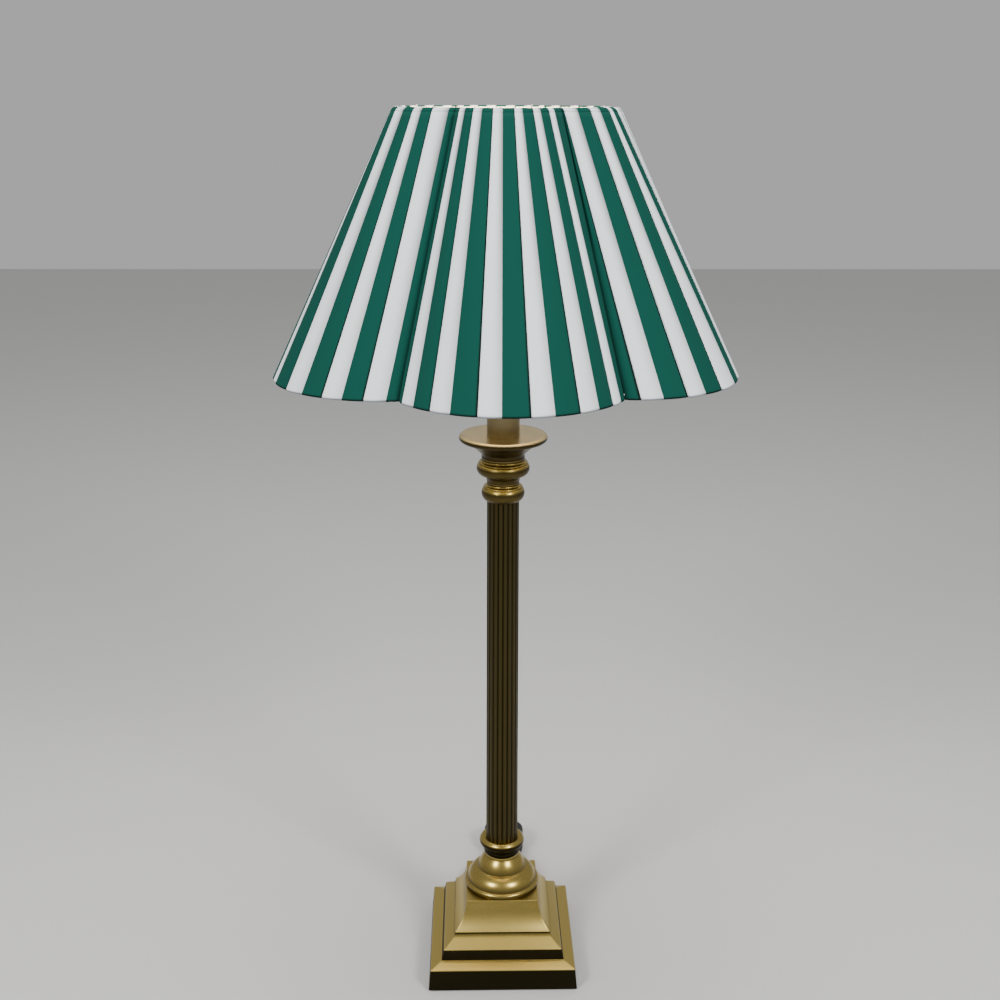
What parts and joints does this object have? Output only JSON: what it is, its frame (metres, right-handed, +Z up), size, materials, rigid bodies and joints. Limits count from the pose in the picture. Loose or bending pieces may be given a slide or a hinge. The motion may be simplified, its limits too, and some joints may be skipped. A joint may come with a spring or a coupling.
{
  "type": "candlestick lamp",
  "caption": "Table lamp with a turned brass candlestick stem on a stepped square base and a gathered striped fabric shade with lobed edges.",
  "frame": {"origin": "centre of the felt pad's underside, on the surface the lamp stands on", "axes": "+Z up the stem, front of the lamp towards -Y, flex leaves towards +Y"},
  "size_m": [0.372, 0.399, 0.779],
  "materials": {
    "base_brass": "polished and worn, lacquered",
    "stem_brass": "dark patina, rubbed bright on the high edges",
    "pan_brass": "polished",
    "felt": "dense felt",
    "iron": "rough cast",
    "steel": "zinc plated",
    "holder_brass": "polished",
    "porcelain": "glazed",
    "bulb_glass": "frosted",
    "bulb_cap": "plain",
    "wire": "brass plated wire",
    "frame_wire": "white coated wire",
    "stripe_cloth": "gathered cloth, green and white stripes",
    "lining_cloth": "thin pale cloth",
    "trim_cloth": "bound edge",
    "flex": "black sheath",
    "plug": "moulded",
    "pins": "bright",
    "switch": "dark"
  },
  "bodies": {
    "stand": {"felt_pad": "felt", "square_base": "base_brass", "base_weight": "iron", "base_washer": "steel", "base_nut": "steel", "cord_grip": "steel", "grip_screws": "steel", "threaded_rod": "steel", "round_foot": "stem_brass", "neck_spacer": "stem_brass", "lower_collar": "stem_brass", "reeded_column": "stem_brass", "capital_lower_ring": "stem_brass", "capital_upper_ring": "stem_brass", "drip_pan": "pan_brass", "candle_tube": "pan_brass", "candle_cap": "holder_brass", "holder_cap": "holder_brass", "holder_barrel": "holder_brass", "holder_core": "porcelain", "shade_clamp_rings": "holder_brass", "inner_flex": "flex", "cord_gland": "flex", "cord_run": "flex", "cord_hank": "flex", "hank_tie": "plug", "plug_body": "plug", "plug_pins": "pins"},
    "plungers": {"contact_plungers": "pins"},
    "bulb": {"bulb_cap": "bulb_cap", "bulb_glass": "bulb_glass"},
    "switch": {"switch_bar": "switch"},
    "carrier": {"carrier_plate": "wire", "shade_carrier": "wire"},
    "shade": {"shade_spider": "frame_wire", "shade_top_ring": "frame_wire", "shade_bottom_ring": "frame_wire", "shade_struts": "frame_wire", "shade_cover": "stripe_cloth", "shade_lining": "lining_cloth", "shade_top_trim": "trim_cloth", "shade_bottom_trim": "trim_cloth"}
  },
  "joints": [
    {"name": "switch_push", "type": "slide", "parent": "stand", "child": "switch", "axis": [1, 0, 0], "range_m": [0, 0.005]},
    {"name": "bulb_push", "type": "slide", "parent": "stand", "child": "plungers", "axis": [0, 0, -1], "range_m": [0, 0.003], "stiffness_N_per_m": 1200, "springref_m": -0.002},
    {"name": "bulb_turn", "type": "hinge", "parent": "plungers", "child": "bulb", "pos_m": [0, 0, 0.637], "axis": [0, 0, 1], "range_deg": [0, 18]},
    {"name": "carrier_turn", "type": "hinge", "parent": "stand", "child": "carrier", "pos_m": [0, 0, 0.624], "axis": [0, 0, 1], "continuous": true},
    {"name": "shade_lift", "type": "slide", "parent": "carrier", "child": "shade", "axis": [0, 0, 1], "range_m": [0, 0.21]}
  ]
}
